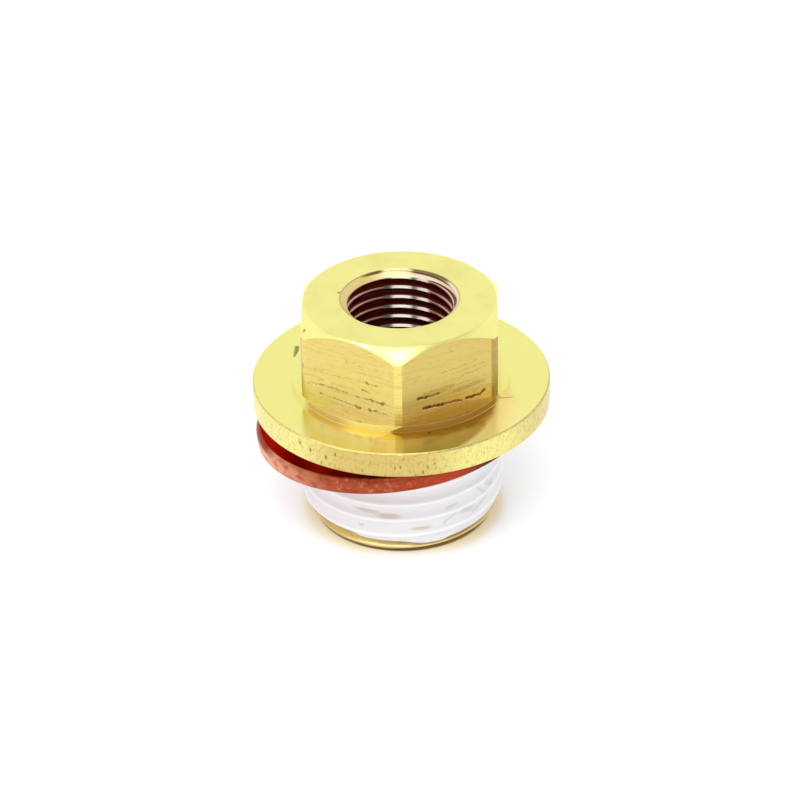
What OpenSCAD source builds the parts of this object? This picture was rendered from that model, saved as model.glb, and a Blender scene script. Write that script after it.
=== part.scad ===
// Oil galley plug: a flanged hex adapter plug, turned and milled from one brass bar,
// with a loose copper sealing washer and thread seal tape wound on its male thread.
// Origin: centre of the end face that the plug stands on. +Z is the thread axis, head up.

/* [Flange] */
// Diameter of the round flange
flange_d = 25; // [24.6:0.1:30]
// Thickness of the flange
flange_t = 2.24; // [1.5:0.02:4]
// Chamfer round both edges of the flange
flange_edge = 0.12; // [0.05:0.01:0.3]

/* [Head] */
// Size of the hex across its flats
hex_af = 16.2; // [14:0.1:17]
// How much smaller the turned head is than the hex across its corners
corner_trim = 0.34; // [0.1:0.02:1]
// Height of the milled flats
hex_h = 6.78; // [5:0.02:12]
// How much smaller the flat top of the head is than the hex across its flats
top_inset = 0.24; // [0:0.02:1.6]
// Slope of the chamfer round the top of the head, from the horizontal
head_chamfer_angle = 43; // [20:1:50]
// Turn of the hex about the axis, from a corner at the front
hex_turn = -1.84; // [-30:0.01:30]
// Height of the round collar left between the flats and the flange
collar_h = 0.61; // [0.4:0.01:2]
// Radius of the fillet at the foot of the collar
collar_fillet = 0.1; // [0.05:0.01:0.35]

/* [Male thread] */
// Nominal diameter of the male thread
thread_d = 16; // [15:0.1:16.4]
// Pitch of the male thread
thread_pitch = 1.5; // [1:0.05:2]
// Length of the shank, from the end face to the flange
shank_l = 10.58; // [9:0.02:16]
// Width of the relief groove under the flange
relief_w = 2.5; // [2:0.05:3]
// Depth of the relief groove below the root of the thread
relief_depth = 0.13; // [0.05:0.01:0.4]
// Lead-in chamfer at the end of the thread
lead_in = 0.55; // [0.2:0.01:0.8]

/* [Female thread] */
// Diameter of the hole, as drilled for a taper pipe thread
tap_drill_d = 8.73; // [8:0.01:9.4]
// Pitch of the taper pipe thread
pipe_pitch = 0.94; // [0.9:0.01:1.1]
// Depth of its groove at the top face
pipe_depth = 0.58; // [0.4:0.01:0.65]
// Length of the pipe thread, down from the top face
pipe_l = 12; // [8:0.1:14]
// Diameter of the countersink in the top face
countersink_d = 10.04; // [9.6:0.02:11]
// Depth of the countersink
countersink_depth = 0.53; // [0.2:0.01:0.8]

/* [Washer] */
// Width of the copper ring, from its hole to its rim
washer_w = 3.15; // [2.8:0.05:3.4]
// Thickness of the copper washer
washer_t = 1.38; // [1:0.02:1.6]
// Play of the washer's hole on the thread, on the diameter
washer_play = 1.2; // [0.9:0.05:1.5]
// Tilt of the washer, whose high side is caught under the flange
washer_tilt = 6.5; // [5:0.1:8]
// Direction of the washer's high side, from +X
washer_high = -17.5; // [-60:0.5:60]
// Direction in which the washer lies off the axis, from +X
washer_off_dir = 141; // [100:1:180]

/* [Tape] */
// Thickness of the wound tape over the crests of the thread
tape_t = 0.42; // [0.35:0.01:0.55]
// Depth to which the tape sags between the crests
tape_sag = 0.26; // [0.05:0.01:0.3]
// Lowest height of the tape's lower edge above the end face
tape_low = 0.95; // [0.7:0.05:2]
// Rise of each pleat along the lower edge
tape_pleat = 0.7; // [0.1:0.05:1]

/* [Hidden] */
$fn = 96;
// Overlap that lets joined and cut shapes pass through each other
eps = 0.02;
front = -90;

// Head and flange
head_d = hex_af / cos(30) - corner_trim;
top_face_d = hex_af - top_inset;
head_chamfer_h = (head_d - top_face_d) / 2 * tan(head_chamfer_angle);
flange_top = shank_l + flange_t;
flats_low = flange_top + collar_h;
top = flats_low + hex_h;

// Male thread, to the basic profile of a 60 degree metric thread
thread_r = thread_d / 2;
thread_depth = 0.6134 * thread_pitch;
root_r = thread_r - thread_depth;
crest_w = thread_pitch / 8;
flank_angle = 30;
thread_top = shank_l - relief_w;
// Height at which a crest passes the front, and the facets in one turn
crest_at_front = 0.65;
thread_steps = 36;

// Hole, and the chamfer where it leaves the end face
bore_exit = 0.25;

// Pipe thread: the taper of 1 in 16 on its diameter, the floor of its groove, how far below
// the top face the groove passes the front, the length of its run-out, and how far inside
// the hole the cutter's foot stays. The hole's facets line up with the steps of a turn.
pipe_taper = 1 / 32;
pipe_floor_w = 0.06;
pipe_at_front = 0.7;
pipe_fade = 0.5;
pipe_inside = 0.08;
pipe_steps = 24;
hole_facets = 3 * pipe_steps;

// Washer
washer_id = thread_d + washer_play;
washer_od = washer_id + 2 * washer_w;
// The share of its play that the washer has slipped off the axis
washer_slip = 0.75;
washer_off = washer_play * washer_slip;
washer_seat = 0.02;
washer_z = shank_l - washer_seat - washer_t / 2 * cos(washer_tilt) - washer_od / 2 * sin(washer_tilt);

// Tape
tape_fit = 0.03;
tape_under_washer = 0.05;
tape_ply = 0.12;
tape_edge_h = 0.5;
tape_pleats = 4;
tape_pleat_start = -76;
tape_pleat_fall = 0.16;
tape_steps = 60;
tape_levels = 34;

// The blank as it leaves the lathe, above the shank
module turned_head() {
    rotate_extrude()
        polygon([
            [0, shank_l],
            [flange_d / 2 - flange_edge, shank_l],
            [flange_d / 2, shank_l + flange_edge],
            [flange_d / 2, flange_top - flange_edge],
            [flange_d / 2 - flange_edge, flange_top],
            [head_d / 2, flange_top],
            [head_d / 2, top - head_chamfer_h],
            [top_face_d / 2, top],
            [0, top]
        ]);
    rotate_extrude()
        difference() {
            translate([head_d / 2 - eps, flange_top - eps])
                square(collar_fillet + eps);
            translate([head_d / 2 + collar_fillet, flange_top + collar_fillet])
                circle(r = collar_fillet);
        }
}

// What the milling cutter takes off the turned head to leave its six flats
module milled_away() {
    translate([0, 0, flats_low])
        difference() {
            cylinder(r = head_d, h = hex_h + 1);
            translate([0, 0, -1])
                rotate([0, 0, hex_turn + front])
                    cylinder(d = hex_af / cos(30), h = hex_h + 3, $fn = 6);
        }
}

// Faces of a section of four points that is swept in a number of steps
function swept_faces(steps) = concat(
    [for (i = [0 : steps - 1], k = [0 : 3])
        let (a = 4 * i + k, b = 4 * i + (k + 1) % 4)
        each [[a, b, b + 4], [a, b + 4, a + 4]]],
    [[3, 2, 1, 0], [for (k = [0 : 3]) 4 * steps + k]]);

// The helical tooth of the thread: a trapezoid swept along its right-hand helix.
// Its foot lies a little inside the core, and its ends run past the shank.
module helical_tooth() {
    foot_r = root_r - 0.08 * thread_pitch;
    foot_w = crest_w + 2 * (thread_r - foot_r) * tan(flank_angle);
    first_turn = -2;
    last_turn = ceil((thread_top - crest_at_front) / thread_pitch) + 1;
    steps = (last_turn - first_turn) * thread_steps;
    function place(i, r, dz) =
        let (a = front + i * 360 / thread_steps)
        [r * cos(a), r * sin(a), crest_at_front + thread_pitch * (first_turn + i / thread_steps) + dz];
    points = [for (i = [0 : steps]) each [
        place(i, foot_r, -foot_w / 2),
        place(i, thread_r, -crest_w / 2),
        place(i, thread_r, crest_w / 2),
        place(i, foot_r, foot_w / 2)
    ]];
    polyhedron(points = points, faces = swept_faces(steps));
}

// The shank: thread and core trimmed to length and chamfered, then the relief groove
module threaded_shank() {
    intersection() {
        union() {
            cylinder(r = root_r, h = thread_top);
            helical_tooth();
        }
        rotate_extrude()
            polygon([
                [0, 0],
                [thread_r - lead_in, 0],
                [thread_r + eps, lead_in + eps],
                [thread_r + eps, thread_top],
                [0, thread_top]
            ]);
    }
    translate([0, 0, thread_top - eps])
        cylinder(r = root_r - relief_depth, h = relief_w + 2 * eps);
}

// The groove that the tap cuts: a V with a narrow floor, swept down a right-hand helix.
// It narrows with the taper, and runs out into the hole at the bottom of the thread.
module pipe_groove() {
    foot_r = tap_drill_d / 2 - pipe_inside;
    below = ceil(pipe_l / pipe_pitch);
    above = 2;
    steps = (below + above) * pipe_steps;
    function down(i) = pipe_at_front + pipe_pitch * (below - i / pipe_steps);
    function depth(i) =
        let (cut = max(0, min(1, (pipe_l - down(i)) / pipe_fade)))
        eps + (pipe_depth + pipe_inside - eps - max(0, down(i)) * pipe_taper) * cut;
    function place(i, r, dz) =
        let (a = front + i * 360 / pipe_steps)
        [r * cos(a), r * sin(a), top - down(i) + dz];
    points = [for (i = [0 : steps])
        let (floor_r = foot_r + depth(i), foot_w = pipe_floor_w + 2 * depth(i) * tan(flank_angle))
        each [
            place(i, foot_r, -foot_w / 2),
            place(i, floor_r, -pipe_floor_w / 2),
            place(i, floor_r, pipe_floor_w / 2),
            place(i, foot_r, foot_w / 2)
        ]];
    polyhedron(points = points, faces = swept_faces(steps));
}

// Straight hole drilled right through, with its countersink and exit chamfer
module through_hole() {
    rotate_extrude($fn = hole_facets)
        polygon([
            [0, -1],
            [tap_drill_d / 2 + bore_exit, -1],
            [tap_drill_d / 2 + bore_exit, 0],
            [tap_drill_d / 2, bore_exit],
            [tap_drill_d / 2, top - countersink_depth],
            [countersink_d / 2, top],
            [countersink_d / 2, top + 1],
            [0, top + 1]
        ]);
}

module plug_body() {
    color([0.88, 0.76, 0.4])
        difference() {
            union() {
                turned_head();
                threaded_shank();
            }
            milled_away();
            through_hole();
            pipe_groove();
        }
}

// The washer leans on the thread, with the high side of its rim under the flange
module copper_washer() {
    color([0.78, 0.36, 0.2])
        translate([washer_off * cos(washer_off_dir), washer_off * sin(washer_off_dir), washer_z])
            rotate([0, 0, washer_high])
                rotate([0, -washer_tilt, 0])
                    difference() {
                        cylinder(d = washer_od, h = washer_t, center = true);
                        cylinder(d = washer_id, h = washer_t + 1, center = true);
                    }
}

// Height of the washer's underside over the point at radius r in direction a
function washer_under(r, a) =
    washer_z - washer_t / 2 / cos(washer_tilt)
    + tan(washer_tilt) * (r * cos(a - washer_high) - washer_off * cos(washer_off_dir - washer_high));

// Height of the tape's lower edge: each pleat climbs along the wrap and drops back
function pleat_share(a) =
    let (turns = tape_pleats * (a - tape_pleat_start) / 360, s = turns - floor(turns))
    s < 1 - tape_pleat_fall ? s / (1 - tape_pleat_fall) : (1 - s) / tape_pleat_fall;
function tape_foot(a) = tape_low + tape_pleat * pleat_share(a);

// Height of the tape's upper edge, pushed down by the washer
function tape_head(a) =
    let (inner = thread_r + tape_fit)
    min(washer_under(inner, a), washer_under(inner + tape_t, a)) - tape_under_washer;

// Thickness of the wrap: full over the crests, sagging between them, one ply at the foot
function tape_wall(a, z) =
    let (crest = crest_at_front + thread_pitch * (a - front) / 360,
        sag = tape_sag * (1 - cos(360 * (z - crest) / thread_pitch)) / 2,
        up = min(1, (z - tape_foot(a)) / tape_edge_h))
    tape_ply + (tape_t - sag - tape_ply) * sin(90 * up);

module thread_tape() {
    inner = thread_r + tape_fit;
    function turn(i) = front + i * 360 / tape_steps;
    function height(i, k) =
        let (a = turn(i))
        tape_foot(a) + (tape_head(a) - tape_foot(a)) * k / tape_levels;
    outside = [for (i = [0 : tape_steps - 1], k = [0 : tape_levels])
        let (a = turn(i), z = height(i, k), r = inner + tape_wall(a, z))
        [r * cos(a), r * sin(a), z]];
    inside = [for (i = [0 : tape_steps - 1], k = [0, tape_levels])
        let (a = turn(i))
        [inner * cos(a), inner * sin(a), height(i, k)]];
    rows = tape_levels + 1;
    base = len(outside);
    faces = [for (i = [0 : tape_steps - 1])
        let (o = i * rows, p = ((i + 1) % tape_steps) * rows,
            q = base + 2 * i, s = base + 2 * ((i + 1) % tape_steps))
        each concat(
            [for (k = [0 : tape_levels - 1]) each [
                [o + k, o + k + 1, p + k + 1],
                [o + k, p + k + 1, p + k]
            ]],
            [
                [q, s + 1, q + 1], [q, s, s + 1],
                [q, o, p], [q, p, s],
                [q + 1, p + tape_levels, o + tape_levels], [q + 1, s + 1, p + tape_levels]
            ])];
    color([0.93, 0.93, 0.94])
        polyhedron(points = concat(outside, inside), faces = faces);
}

plug_body();
copper_washer();
thread_tape();
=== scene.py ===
# Brass galley plug with a loose copper washer and a taped thread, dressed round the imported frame
import math

import bmesh
import bpy
from mathutils import Matrix, Vector, noise


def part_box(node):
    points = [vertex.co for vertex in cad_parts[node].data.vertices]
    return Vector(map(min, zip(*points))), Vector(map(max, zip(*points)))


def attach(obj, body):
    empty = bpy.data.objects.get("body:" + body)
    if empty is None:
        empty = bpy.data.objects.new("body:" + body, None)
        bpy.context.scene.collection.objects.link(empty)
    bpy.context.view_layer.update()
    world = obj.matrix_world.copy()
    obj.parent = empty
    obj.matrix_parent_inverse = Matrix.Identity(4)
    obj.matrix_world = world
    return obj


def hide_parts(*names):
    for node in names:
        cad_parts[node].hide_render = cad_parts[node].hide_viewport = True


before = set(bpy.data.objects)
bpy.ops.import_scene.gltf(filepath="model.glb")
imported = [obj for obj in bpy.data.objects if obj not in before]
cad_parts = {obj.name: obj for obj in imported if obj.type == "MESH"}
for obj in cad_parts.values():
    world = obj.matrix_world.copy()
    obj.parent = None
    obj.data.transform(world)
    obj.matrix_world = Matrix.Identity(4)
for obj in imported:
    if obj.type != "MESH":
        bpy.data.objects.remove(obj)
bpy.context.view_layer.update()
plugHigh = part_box("plug_body")[1]
print("frame loaded:", sorted(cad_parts))

mm = 0.001
front = -90.0  # the side that faces the camera, from +X in degrees
up = Vector((0.0, 0.0, 1.0))
white = (1.0, 1.0, 1.0, 1.0)
tiny = 0.001  # in millimetres, as are all the sizes below


# Camera, fitted to the edges in the photograph
cameraView = {
    "target": (-0.139, 0.0, 10.381),
    "elevation": 31.576,
    "distance": 270.299,
    "lens": 144.205,
    "roll": 1.094,
}


def makeCamera(view):
    data = bpy.data.cameras.new("photo_camera")
    data.sensor_fit = "HORIZONTAL"
    data.sensor_width = 36.0
    data.lens = view["lens"]
    data.clip_start = 0.01
    data.clip_end = 10.0
    camera = bpy.data.objects.new("photo_camera", data)
    bpy.context.scene.collection.objects.link(camera)
    rise = math.radians(view["elevation"])
    back = Vector((0.0, -math.cos(rise), math.sin(rise)))
    aim = (-back).to_track_quat("-Z", "Y").to_matrix()
    roll = Matrix.Rotation(math.radians(-view["roll"]), 3, "Z")
    place = (Vector(view["target"]) + back * view["distance"]) * mm
    camera.matrix_world = Matrix.Translation(place) @ (aim @ roll).to_4x4()
    bpy.context.scene.camera = camera


makeCamera(cameraView)
print("camera placed")


# Small helpers for meshes: outlines are lists of (radius, height) in millimetres
def polar(radius, degrees, height):
    turn = math.radians(degrees)
    return Vector((radius * math.cos(turn), radius * math.sin(turn), height))


def setRadius(vert, radius):
    vert.co.xy = vert.co.xy.normalized() * radius


def arcPoints(radius, height, size, start, end, parts):
    turns = [math.radians(start + (end - start) * i / parts) for i in range(parts + 1)]
    return [(radius + size * math.cos(turn), height + size * math.sin(turn)) for turn in turns]


def turnOutline(outline, steps, closed=False, rise=0.0):
    # a full turn about the axis; with a rise the last ring meets the first one pitch higher
    bm = bmesh.new()
    verts = [bm.verts.new(polar(radius, front, height)) for radius, height in outline]
    ends = verts[1:] + (verts[:1] if closed else [])
    edges = [bm.edges.new(pair) for pair in zip(verts, ends)]
    bmesh.ops.spin(bm, geom=verts + edges, cent=(0, 0, 0), axis=(0, 0, 1), dvec=(0, 0, rise / steps),
                   angle=math.tau, steps=steps, use_merge=rise == 0.0)
    weld(bm)
    return bm


def weld(bm):
    bmesh.ops.remove_doubles(bm, verts=bm.verts, dist=tiny)


def everything(bm):
    return bm.verts[:] + bm.edges[:] + bm.faces[:]


def addPart(bm, part):
    mesh = bpy.data.meshes.new("part")
    part.to_mesh(mesh)
    part.free()
    bm.from_mesh(mesh)
    bpy.data.meshes.remove(mesh)


def fillRing(bm, height, low, high):
    # closes the flat ring between two open edges at one height
    def fits(vert):
        return abs(vert.co.z - height) < tiny and low - 10 * tiny < vert.co.xy.length < high + 10 * tiny
    edges = [edge for edge in bm.edges if edge.is_boundary and all(fits(vert) for vert in edge.verts)]
    bmesh.ops.triangle_fill(bm, edges=edges, use_beauty=True, normal=(0, 0, 1))


def toPiece(bm, name, materials, weighted=True):
    bmesh.ops.recalc_face_normals(bm, faces=bm.faces)
    bmesh.ops.scale(bm, vec=(mm, mm, mm), verts=bm.verts)
    mesh = bpy.data.meshes.new(name)
    bm.to_mesh(mesh)
    bm.free()
    mesh.polygons.foreach_set("use_smooth", [True] * len(mesh.polygons))
    for material in materials:
        mesh.materials.append(material)
    piece = bpy.data.objects.new(name, mesh)
    bpy.context.scene.collection.objects.link(piece)
    if weighted:
        shading = piece.modifiers.new("face_weighted_shading", "WEIGHTED_NORMAL")
        shading.weight = 100
        shading.keep_sharp = True
    print("made", name, len(mesh.polygons), "faces")
    return piece


# Small helpers for materials
def paint(red, green, blue):
    # a colour as it shows on the screen, from 0 to 255
    def linear(value):
        share = value / 255
        return share / 12.92 if share <= 0.04045 else ((share + 0.055) / 1.055) ** 2.4
    return (linear(red), linear(green), linear(blue), 1.0)


def setInputs(node, inputs):
    # each input gets a value, or a link from another node's output
    for key, value in inputs.items():
        if isinstance(value, bpy.types.NodeSocket):
            node.id_data.links.new(value, node.inputs[key])
        else:
            node.inputs[key].default_value = value


def addNode(tree, kind, inputs, **settings):
    made = tree.nodes.new(kind)
    for name, value in settings.items():
        setattr(made, name, value)
    setInputs(made, inputs)
    return made


def calc(tree, operation, *values, clamp=False):
    inputs = dict(enumerate(values))
    return addNode(tree, "ShaderNodeMath", inputs, operation=operation, use_clamp=clamp).outputs[0]


def vectorCalc(tree, operation, *values, output=0):
    inputs = dict(enumerate(values))
    return addNode(tree, "ShaderNodeVectorMath", inputs, operation=operation).outputs[output]


def blendColour(tree, factor, first, second):
    inputs = {0: factor, 6: first, 7: second}
    return addNode(tree, "ShaderNodeMix", inputs, data_type="RGBA").outputs[2]


def smoothStep(tree, value, low, high, start=0.0, end=1.0):
    inputs = {"Value": value, "From Min": low, "From Max": high, "To Min": start, "To Max": end}
    return addNode(tree, "ShaderNodeMapRange", inputs, interpolation_type="SMOOTHSTEP").outputs[0]


def between(tree, mask, first, second):
    # first where the mask is 0, second where it is 1
    return smoothStep(tree, mask, 0.0, 1.0, first, second)


def multiply(tree, *values):
    product = values[0]
    for other in values[1:]:
        product = calc(tree, "MULTIPLY", product, other)
    return product


def strongest(tree, masks):
    mask = masks[0]
    for other in masks[1:]:
        mask = calc(tree, "MAXIMUM", mask, other)
    return mask


def layColours(tree, colour, layers):
    # each layer is a mask, the colour that it lays over what is there, and what else weakens it
    for mask, cover, *others in layers:
        colour = blendColour(tree, multiply(tree, mask, *others), colour, cover)
    return colour


def scale(tree, vector, factor):
    inputs = {0: vector, "Scale": factor}
    return addNode(tree, "ShaderNodeVectorMath", inputs, operation="SCALE").outputs[0]


def inMillimetres(tree, place):
    return scale(tree, place, 1 / mm)


def newGroup(name, inputs, outputs):
    tree = bpy.data.node_groups.new(name, "ShaderNodeTree")
    for label, kind, value in inputs:
        socket = tree.interface.new_socket(label, in_out="INPUT", socket_type="NodeSocket" + kind)
        socket.default_value = value
    for label in outputs:
        tree.interface.new_socket(label, in_out="OUTPUT", socket_type="NodeSocketFloat")
    return tree, tree.nodes.new("NodeGroupInput").outputs, tree.nodes.new("NodeGroupOutput")


def useGroup(tree, group, inputs):
    return addNode(tree, "ShaderNodeGroup", inputs, node_tree=group).outputs


def makeRoundPlace():
    # where a point lies round the thread's axis: millimetres, and degrees from the front towards +X
    tree, given, made = newGroup("round_place", [("Vector", "Vector", (0, 0, 0))],
                                 ["Radius", "Angle", "Height"])
    parts = addNode(tree, "ShaderNodeSeparateXYZ", {0: given["Vector"]}).outputs
    flat = addNode(tree, "ShaderNodeCombineXYZ", {0: parts[0], 1: parts[1]}).outputs[0]
    turn = calc(tree, "ARCTAN2", parts[0], multiply(tree, parts[1], -1.0))
    setInputs(made, {
        "Radius": calc(tree, "DIVIDE", vectorCalc(tree, "LENGTH", flat, output="Value"), mm),
        "Angle": calc(tree, "DEGREES", turn),
        "Height": calc(tree, "DIVIDE", parts[2], mm)})
    return tree


def makeStreaks():
    # noise drawn out along an axis: Spread is how many times it changes in a millimetre of each
    tree, given, made = newGroup("streaks", [
        ("Vector", "Vector", (0, 0, 0)), ("Spread", "Vector", (1, 1, 1)),
        ("Low", "Float", 0.5), ("High", "Float", 0.6)], ["Mask", "Value"])
    spread = vectorCalc(tree, "MULTIPLY", inMillimetres(tree, given["Vector"]), given["Spread"])
    value = addNode(tree, "ShaderNodeTexNoise", {"Vector": spread, "Scale": 1.0, "Detail": 3.0,
                                                 "Roughness": 0.6}).outputs["Fac"]
    setInputs(made, {"Mask": smoothStep(tree, value, given["Low"], given["High"]), "Value": value})
    return tree


def makeBand():
    # 1 where a value lies between Low and High, with soft ends
    tree, given, made = newGroup("band", [
        ("Value", "Float", 0.0), ("Low", "Float", 0.0), ("High", "Float", 1.0), ("Soft", "Float", 0.1)],
        ["Mask"])
    ends = [[calc(tree, way, given[end], given["Soft"]) for way in ("SUBTRACT", "ADD")]
            for end in ("Low", "High")]
    rise = smoothStep(tree, given["Value"], *ends[0])
    fall = smoothStep(tree, given["Value"], *ends[1], 1.0, 0.0)
    setInputs(made, {"Mask": multiply(tree, rise, fall)})
    return tree


def makeStroke():
    # a scratch from one point to another, in millimetres, darkest within its core
    core = 0.3
    tree, given, made = newGroup("stroke", [
        ("Point", "Vector", (0, 0, 0)), ("From", "Vector", (0, 0, 0)), ("To", "Vector", (1, 0, 0)),
        ("Width", "Float", 0.1)], ["Mask"])
    reach = vectorCalc(tree, "SUBTRACT", given["Point"], given["From"])
    line = vectorCalc(tree, "SUBTRACT", given["To"], given["From"])
    along = calc(tree, "DIVIDE", vectorCalc(tree, "DOT_PRODUCT", reach, line, output="Value"),
                 vectorCalc(tree, "DOT_PRODUCT", line, line, output="Value"), clamp=True)
    away = vectorCalc(tree, "DISTANCE", reach, scale(tree, line, along), output="Value")
    half = multiply(tree, given["Width"], 0.5)
    setInputs(made, {"Mask": smoothStep(tree, away, multiply(tree, half, core), half, 1.0, 0.0)})
    return tree


def makePatch():
    # a soft oval spot on a turned surface, full within its core
    core = 0.35
    tree, given, made = newGroup("patch", [
        ("Angle", "Float", 0.0), ("Height", "Float", 0.0), ("Turn", "Float", 0.0), ("Middle", "Float", 0.0),
        ("Wide", "Float", 1.0), ("High", "Float", 1.0)], ["Mask"])
    across = calc(tree, "DIVIDE", calc(tree, "SUBTRACT", given["Angle"], given["Turn"]), given["Wide"])
    upward = calc(tree, "DIVIDE", calc(tree, "SUBTRACT", given["Height"], given["Middle"]), given["High"])
    squares = calc(tree, "ADD", multiply(tree, across, across), multiply(tree, upward, upward))
    away = calc(tree, "SQRT", squares)
    setInputs(made, {"Mask": smoothStep(tree, away, core, 1.0, 1.0, 0.0)})
    return tree


roundPlace = makeRoundPlace()
streaks = makeStreaks()
band = makeBand()
stroke = makeStroke()
patch = makePatch()
print("shader groups made")


def whereIs(tree, place):
    return useGroup(tree, roundPlace, {"Vector": place})


def addStreaks(tree, place, spread, low, high):
    return useGroup(tree, streaks, {"Vector": place, "Spread": spread, "Low": low, "High": high})


def within(tree, value, low, high, soft):
    return useGroup(tree, band, {"Value": value, "Low": low, "High": high, "Soft": soft})["Mask"]


def addStrokes(tree, point, strokes):
    # each stroke is its start, its end and its width
    return strongest(tree, [
        useGroup(tree, stroke, {"Point": point, "From": start, "To": end, "Width": width})["Mask"]
        for start, end, width in strokes])


def startMaterial(name, metallic, roughness):
    material = bpy.data.materials.new(name)
    material.use_nodes = True
    tree = material.node_tree
    shader = tree.nodes["Principled BSDF"]
    setInputs(shader, {"Metallic": metallic, "Roughness": roughness})
    place = addNode(tree, "ShaderNodeTexCoord", {}).outputs["Object"]
    return material, tree, shader, place


def addBump(tree, shader, height, depth, strength=1.0):
    # depth is in millimetres
    bump = addNode(tree, "ShaderNodeBump", {"Height": height, "Distance": depth * mm, "Strength": strength})
    setInputs(shader, {"Normal": bump.outputs["Normal"]})


def addLatheRings(tree, shader, where, rate):
    # the fine rings that the turning tool left
    depth = 0.0004
    addBump(tree, shader, calc(tree, "SINE", multiply(tree, where["Radius"], rate)), depth)


# Brass: one material for each way that the plug was cut
brass = {
    "face": paint(243, 238, 146),
    "faceSpot": paint(238, 230, 138),
    "flat": paint(213, 193, 115),
    # painted shade on the right flat, and painted reflections of the flange on the flats' lower part
    "flatRightShade": paint(201, 180, 105),
    "flatLowLeftReflection": paint(218, 203, 156),
    "flatLowRightReflection": paint(236, 204, 128),
    # painted shade along the right corner; the same dark colour also draws a line on the left corner's land
    "corner": paint(166, 138, 72),
    "cornerLeft": paint(216, 196, 116),
    # a painted highlight on the turned land at the front corner
    "land": paint(226, 206, 122),
    "scratch": paint(196, 160, 84),
    "flange": paint(243, 236, 142),
    # painted reflections of the flats on the flange, and painted light and shade on the collar
    "flangeLeftReflection": paint(252, 246, 186),
    "flangeFootReflection": paint(248, 232, 168),
    "flangeRightReflection": paint(253, 236, 166),
    "flangeReflectionEnd": paint(238, 214, 130),
    "collarSide": paint(252, 250, 214),
    "collarTanReflection": paint(206, 174, 106),
    "collarLeftLight": paint(238, 218, 122),
    "collarRightShade": paint(160, 122, 46),
    "footRightShade": paint(232, 204, 124),
    "ledgeRightShade": paint(222, 192, 118),
    "burr": paint(112, 98, 40),
    "rim": paint(226, 216, 136),
    "rimTan": paint(204, 180, 108),
    "rimRightShade": paint(212, 196, 124),
    # the hole's sides and roots are painted shade, and its line is a painted highlight
    "bore": paint(112, 104, 97),
    "boreSideShade": paint(92, 40, 30),
    "boreRootShade": paint(122, 30, 14),
    "boreHighlightLine": paint(218, 178, 160),
    # the countersink is painted lighter at the back and right, with painted shade at its edge
    "mouthLeft": paint(214, 194, 120),
    "mouthBackLight": paint(250, 236, 172),
    "mouthRight": paint(226, 208, 172),
    "mouthRimShade": paint(184, 158, 92),
    "mouthShadowLine": paint(108, 80, 28),
    # painted highlight and painted shade on the thread's end
    "thread": paint(236, 214, 150),
    "threadHighlight": paint(255, 240, 168),
    "threadShadeAndLines": paint(190, 156, 92),
    "gouge": paint(104, 58, 16),
    "pit": paint(120, 112, 52),
}

# In the finishes below, two numbers are where a tone begins and where it is full, four give its share at
# each too, and three are the ends of a band and how soft they are. They are degrees from the front, or
# radii, heights or ways across in millimetres. Streaks are how fine they are along each axis, and the
# values of their noise where they begin and are full.
faceFinish = {
    "spots": ((0.35, 0.35, 0.35), 0.4, 0.7),
    "nickLength": 0.15,
    "nickStrength": 0.75,
    "chamferFrom": 0.06,
    "chamferTo": 0.02,
    "chamferMetal": 0.72,
    "ringRate": 48.0,
}
# Nicks in the face and its chamfer: radius, degrees from the front, height, width
faceNicks = [(5.0, -101.8, 20.21, 0.44), (8.75, -64.0, 19.5, 0.4), (9.0, -107.0, 19.3, 0.36)]


def makeFaceBrass(look):
    material, tree, shader, place = startMaterial("brass_turned_head", metallic=1.0, roughness=0.3)
    where = whereIs(tree, place)
    nicks = addStrokes(tree, inMillimetres(tree, place), [
        (polar(radius, front + turn, height), polar(radius + look["nickLength"], front + turn, height), width)
        for radius, turn, height, width in faceNicks])
    colour = layColours(tree, brass["face"], [
        (addStreaks(tree, place, *look["spots"])["Mask"], brass["faceSpot"]),
        (nicks, brass["burr"], look["nickStrength"])])
    chamfer = smoothStep(tree, where["Height"], plug["top"] - look["chamferFrom"],
                         plug["top"] - look["chamferTo"], 1.0, 0.0)
    setInputs(shader, {"Base Color": colour, "Metallic": between(tree, chamfer, 1.0, look["chamferMetal"])})
    addLatheRings(tree, shader, where, look["ringRate"])
    return material


# The milled flats, whose corners are still the turned bar, with painted shade and painted reflections
flatFinish = {
    "side": (-2.0, 2.0),
    "reflectionTop": (16.4, 15.4),
    "reflectionFoot": 14.0,
    "rightCorner": (50.0, 72.0, 4.0),
    "rightCornerRadius": (9.02, 9.12),
    "leftCorner": (-56.0, -52.0, 1.0, 0.0),
    "leftCornerRadius": (9.0, 9.14),
    "frontLandHighlight": (-4.6, 1.0, 0.4),
    "leftLine": (-62.9, -62.1, 0.3),
    "leftLineStrength": 0.7,
    "turnedRadius": (9.165, 9.175),
    "broadLines": ((0.3, 0.3, 6.0), 0.5, 0.72),
    "broadStrength": 0.6,
    "fineLines": ((1.4, 1.4, 9.0), 0.56, 0.7),
    "fineStrength": 0.5,
    "specks": ((2.6, 2.6, 5.0), 0.58, 0.76),
    "speckStrength": 0.4,
    "gougeStrength": 0.9,
    "breaks": ((2.2, 2.2, 2.2), 0.44, 0.56),
    "ragged": 0.3,
    "raggedFineness": 4.0,
    "lineDepth": 0.5,
    "depth": 0.03,
}
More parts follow.
